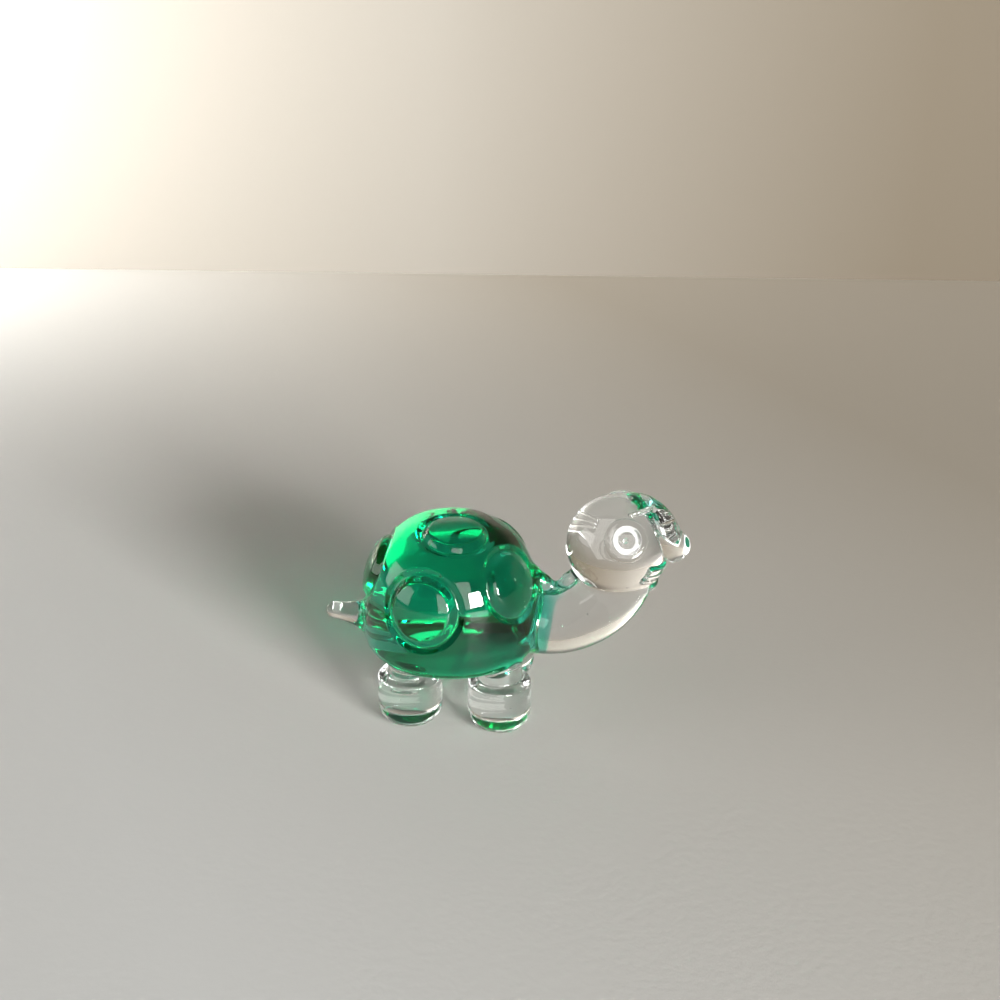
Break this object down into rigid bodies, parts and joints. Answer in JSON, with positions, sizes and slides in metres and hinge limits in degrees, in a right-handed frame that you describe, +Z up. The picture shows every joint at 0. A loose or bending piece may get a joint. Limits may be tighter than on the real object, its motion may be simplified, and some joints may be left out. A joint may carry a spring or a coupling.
{
  "type": "glass turtle figurine",
  "caption": "Small solid lampworked glass turtle ornament: round green body with raised green buttons, clear curved neck, ball head with stacked-bead eyes, stub legs and a short tail.",
  "frame": {"origin": "on the ground plane under the middle of the bounding box, the feet standing on z = 0", "axes": "+X towards the head along the body, +Z up, +Y towards the turtle's left side"},
  "size_m": [0.0476, 0.0242, 0.0301],
  "materials": {
    "green_glass": "fire-polished transparent emerald green",
    "clear_glass": "fire-polished clear"
  },
  "bodies": {
    "root": {"shell_body": "green_glass", "shell_dot_top": "green_glass", "shell_dot_front_right": "green_glass", "shell_dot_side_right": "green_glass", "shell_dot_rear": "green_glass", "shell_dot_side_left": "green_glass", "shell_dot_front_left": "green_glass", "neck": "clear_glass", "head": "clear_glass", "snout": "clear_glass", "lower_jaw": "clear_glass", "eye_right": "clear_glass", "pupil_right": "clear_glass", "eye_left": "clear_glass", "pupil_left": "clear_glass", "leg_front_right": "clear_glass", "leg_front_left": "clear_glass", "leg_rear_right": "clear_glass", "leg_rear_left": "clear_glass", "tail": "clear_glass"}
  },
  "joints": []
}
